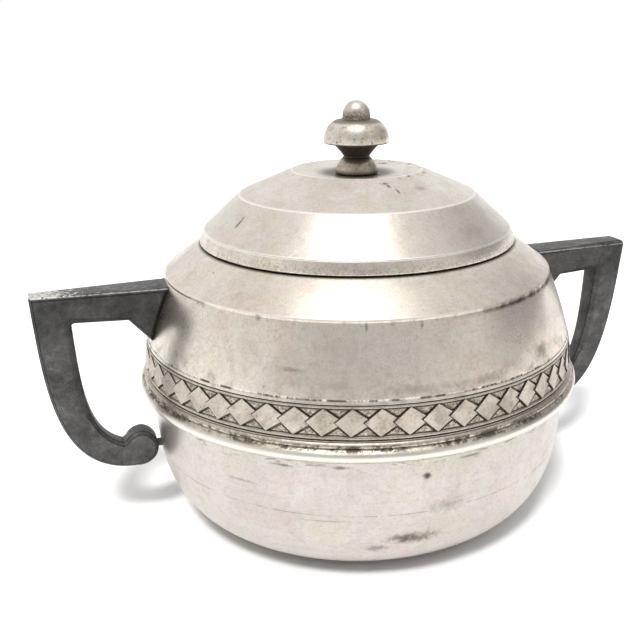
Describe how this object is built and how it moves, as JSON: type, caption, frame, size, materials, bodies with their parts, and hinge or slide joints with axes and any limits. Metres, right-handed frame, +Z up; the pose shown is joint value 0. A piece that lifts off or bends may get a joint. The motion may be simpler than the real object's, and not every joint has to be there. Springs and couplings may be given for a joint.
{
  "type": "two-handled sugar bowl",
  "caption": "Lidded sugar bowl of aged silver with a faceted lid, a mushroom finial, a girdle of overlapping diamonds and two dark scrolled bracket handles.",
  "frame": {"origin": "on the table, under the middle of the bowl", "axes": "+Z up along the bowl's axis, +X towards the right handle, -Y towards the viewer"},
  "size_m": [0.1768, 0.1256, 0.1163],
  "materials": {
    "aged_silver": "satin, aged, with light tarnish",
    "bright_silver": "satin, aged, paler",
    "patterned_band": "struck relief with dark patina in its lines",
    "tarnished_silver": "tarnished",
    "dark_cast_metal": "dark, semi-matte, worn pale at the corners",
    "fixing_steel": "plain"
  },
  "bodies": {
    "bowl": {"lower_bowl": "bright_silver", "upper_shell": "aged_silver", "girdle_bead": "aged_silver", "lattice_band": "patterned_band", "mouth_collar": "aged_silver", "foot_ring": "aged_silver", "handle_left": "dark_cast_metal", "handle_right": "dark_cast_metal", "handle_left_screw": "fixing_steel", "handle_left_washer": "fixing_steel", "handle_left_rivet": "fixing_steel", "handle_right_screw": "fixing_steel", "handle_right_washer": "fixing_steel", "handle_right_rivet": "fixing_steel"},
    "lid_seat": {"lid_bezel": "aged_silver"},
    "lid": {"lid_shell": "aged_silver", "lid_rim": "aged_silver", "finial_knob": "aged_silver", "finial_stem": "tarnished_silver", "finial_stud": "fixing_steel", "finial_washer": "fixing_steel", "finial_nut": "fixing_steel"}
  },
  "joints": [
    {"name": "lid_lift", "type": "slide", "parent": "bowl", "child": "lid_seat", "axis": [0, 0, 1], "range_m": [0, 0.06]},
    {"name": "lid_turn", "type": "hinge", "parent": "lid_seat", "child": "lid", "pos_m": [0, 0, 0.079], "axis": [0, 0, 1], "continuous": true}
  ]
}
